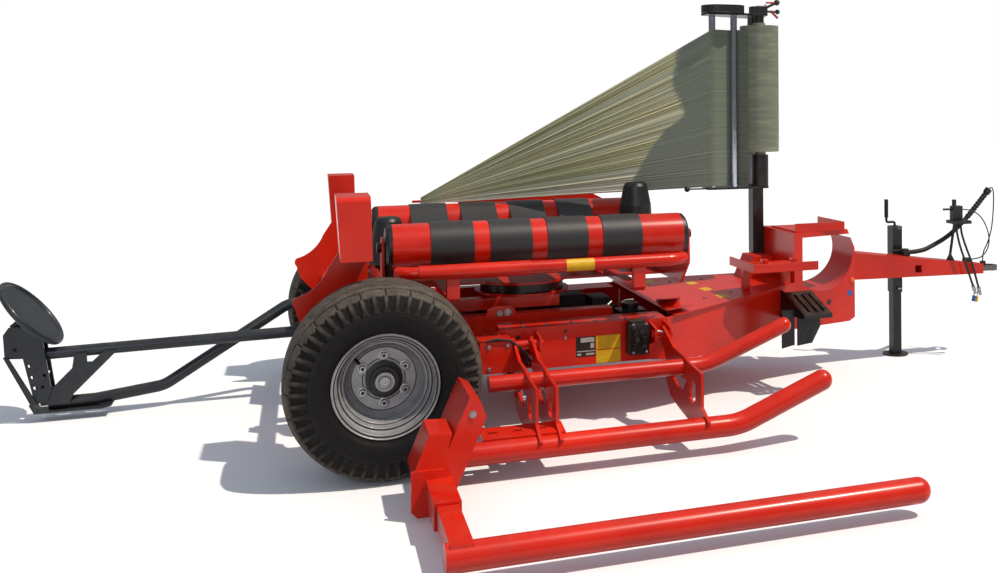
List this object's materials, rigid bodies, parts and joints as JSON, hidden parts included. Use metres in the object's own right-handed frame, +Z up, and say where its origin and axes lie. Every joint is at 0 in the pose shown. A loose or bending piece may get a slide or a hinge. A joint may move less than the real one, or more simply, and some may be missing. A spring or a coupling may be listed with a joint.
{
  "type": "trailed turntable bale wrapper",
  "caption": "Trailed farm machine with a belted roller turntable, a side loader for round bales, a film dispenser mast and a rear tail frame, on two wheels.",
  "frame": {"origin": "on the ground, under the middle of the whole machine", "axes": "+X forward to the tow eye, +Y to the machine's left, +Z up"},
  "size_m": [5.6634, 3.515, 2.232],
  "materials": {
    "belt_rubber": "matt",
    "black_paint": "satin",
    "black_plastic": "moulded",
    "chrome": "polished",
    "coupler_steel": "zinc plated",
    "cylinder_paint": "satin",
    "disc_black": "worn",
    "film_roll": "stretched film",
    "film_web": "stretched film",
    "hose_rubber": "matt",
    "hub": "galvanised",
    "red_paint": "gloss paint",
    "rim": "silver grey paint",
    "slate_paint": "satin",
    "tyre": "moulded, dusty"
  },
  "bodies": {
    "frame": {"axle_beam": "red_paint", "cable_loops": "hose_rubber", "deck_cover": "red_paint", "drawbar": "red_paint", "drive_motor": "black_paint", "film_latch": "black_paint", "film_trays": "red_paint", "film_web": "film_web", "headstock": "red_paint", "hose_bundle": "hose_rubber", "hose_clip": "black_plastic", "hose_couplers": "coupler_steel", "hose_stay": "black_plastic", "hydraulic_hoses": "hose_rubber", "jack_crank": "black_plastic", "jack_foot": "black_paint", "jack_sleeve": "black_paint", "loader_pivots": "red_paint", "main_frame": "red_paint", "mast_frame": "black_paint", "mast_pedestal": "red_paint", "plug_holder": "black_plastic", "step_bracket": "black_paint", "step_flaps": "black_plastic", "stretch_rollers": "chrome", "tail_disc": "disc_black", "tail_ends": "slate_paint", "tail_gusset": "slate_paint", "tail_plate": "slate_paint", "tail_skid": "slate_paint", "tail_tubes": "slate_paint", "tip_bearings": "red_paint", "top_housing": "black_paint", "tow_eye": "red_paint", "valve_block": "black_paint"},
    "wheel_left": {"tyre_left": "tyre", "rim_left": "rim", "hub_left": "hub"},
    "wheel_right": {"tyre_right": "tyre", "rim_right": "rim", "hub_right": "hub"},
    "tipping_frame": {"tip_frame": "red_paint", "side_fins": "red_paint", "rear_uprights": "red_paint", "slew_ring": "black_paint"},
    "turntable": {"table_frame": "red_paint", "rollers": "red_paint", "roller_caps": "black_plastic", "belts": "belt_rubber", "guard_tubes": "red_paint", "cones": "black_plastic"},
    "tilt_barrel": {"tilt_barrel": "cylinder_paint"},
    "tilt_rod": {"tilt_rod": "chrome"},
    "loader": {"loader_tubes": "red_paint", "loader_ribs": "red_paint", "swing_channel": "red_paint"},
    "loader_slide": {"slide_arm": "red_paint"},
    "lift_barrel": {"lift_barrel": "cylinder_paint"},
    "lift_rod": {"lift_rod": "chrome"},
    "film_roll": {"film_roll": "film_roll"}
  },
  "joints": [
    {"name": "wheel_left_spin", "type": "hinge", "parent": "frame", "child": "wheel_left", "pos_m": [-1.05432, 1.5225, 0.416], "axis": [0, 1, 0], "continuous": true},
    {"name": "wheel_right_spin", "type": "hinge", "parent": "frame", "child": "wheel_right", "pos_m": [-1.05432, -0.4375, 0.416], "axis": [0, 1, 0], "continuous": true},
    {"name": "table_tilt", "type": "hinge", "parent": "frame", "child": "tipping_frame", "pos_m": [-1.25432, 0.5425, 0.61], "axis": [0, -1, 0], "range_deg": [0, 35], "deforming": ["film_web"]},
    {"name": "table_turn", "type": "hinge", "parent": "tipping_frame", "child": "turntable", "pos_m": [-0.25432, 0.5425, 0.6503], "axis": [0, 0, 1], "continuous": true, "deforming": ["film_web"]},
    {"name": "tilt_barrel_swing", "type": "hinge", "parent": "frame", "child": "tilt_barrel", "pos_m": [0.09568, 0.5425, 0.35], "axis": [0, -1, 0], "range_deg": [-10.77, 0]},
    {"name": "tilt_rod_slide", "type": "slide", "parent": "tilt_barrel", "child": "tilt_rod", "axis": [-0.9824, 0, 0.1867], "range_m": [0, 0.082]},
    {"name": "loader_lift", "type": "hinge", "parent": "frame", "child": "loader", "pos_m": [-0.38432, -0.1295, 0.436], "axis": [-1, 0, 0], "range_deg": [0, 50]},
    {"name": "loader_width", "type": "slide", "parent": "loader", "child": "loader_slide", "axis": [0, -1, 0], "range_m": [0, 0.22]},
    {"name": "lift_barrel_swing", "type": "hinge", "parent": "frame", "child": "lift_barrel", "pos_m": [-0.38432, 0.1025, 0.23], "axis": [-1, 0, 0], "range_deg": [0, 20]},
    {"name": "lift_rod_slide", "type": "slide", "parent": "lift_barrel", "child": "lift_rod", "axis": [0, -1, 0], "range_m": [0, 0.14246]},
    {"name": "film_roll_spin", "type": "hinge", "parent": "frame", "child": "film_roll", "pos_m": [1.19968, 0.6025, 1.693], "axis": [0, 0, 1], "continuous": true}
  ],
  "couplings": [
    {"joint": "tilt_barrel_swing", "follows": "table_tilt", "ratio": -0.30745},
    {"joint": "tilt_rod_slide", "follows": "table_tilt", "m_per_rad": 0.13409},
    {"joint": "lift_barrel_swing", "follows": "loader_lift", "ratio": 0.3996},
    {"joint": "lift_rod_slide", "follows": "loader_lift", "m_per_rad": 0.16308}
  ]
}
